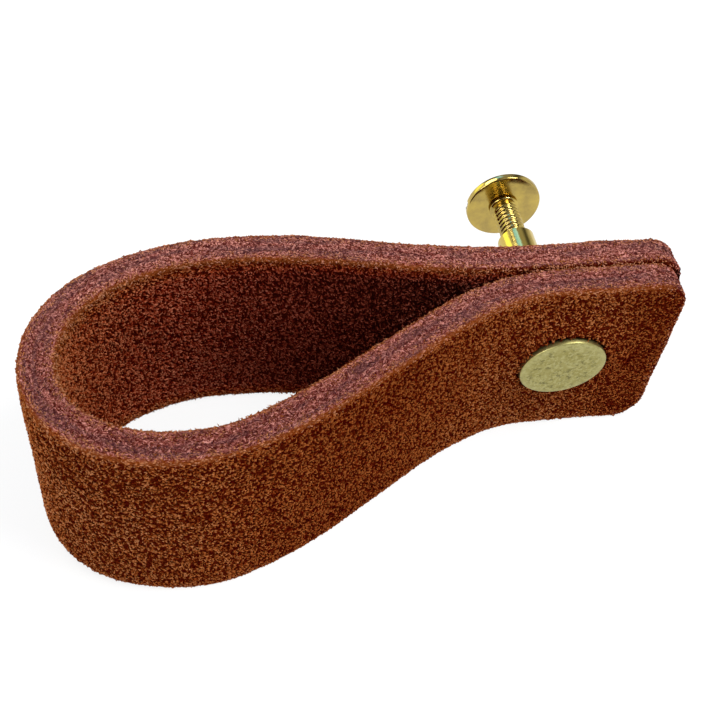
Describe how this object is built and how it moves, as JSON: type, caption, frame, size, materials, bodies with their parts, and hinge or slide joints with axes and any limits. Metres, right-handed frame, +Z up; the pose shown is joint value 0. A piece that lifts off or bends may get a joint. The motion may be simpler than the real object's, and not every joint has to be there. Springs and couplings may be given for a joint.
{
  "type": "leather strap pull",
  "caption": "Folded suede leather finger loop for a drawer or door, clamped through both legs by a flat brass post and screw.",
  "frame": {"origin": "under the middle of the whole pull, on the surface that it stands on", "axes": "+X along the legs towards their ends, away from the finger loop; +Y out of the back leg along the fastener, towards the inside of the panel; +Z up along the width of the strip"},
  "size_m": [0.0776, 0.0484, 0.025],
  "materials": {
    "suede": "rough nap on both faces, dark burgundy cut edges",
    "satin_brass": "satin, finely pitted",
    "polished_brass": "polished"
  },
  "bodies": {
    "root": {"strap": "suede", "post": "satin_brass", "screw": "polished_brass"}
  },
  "joints": []
}
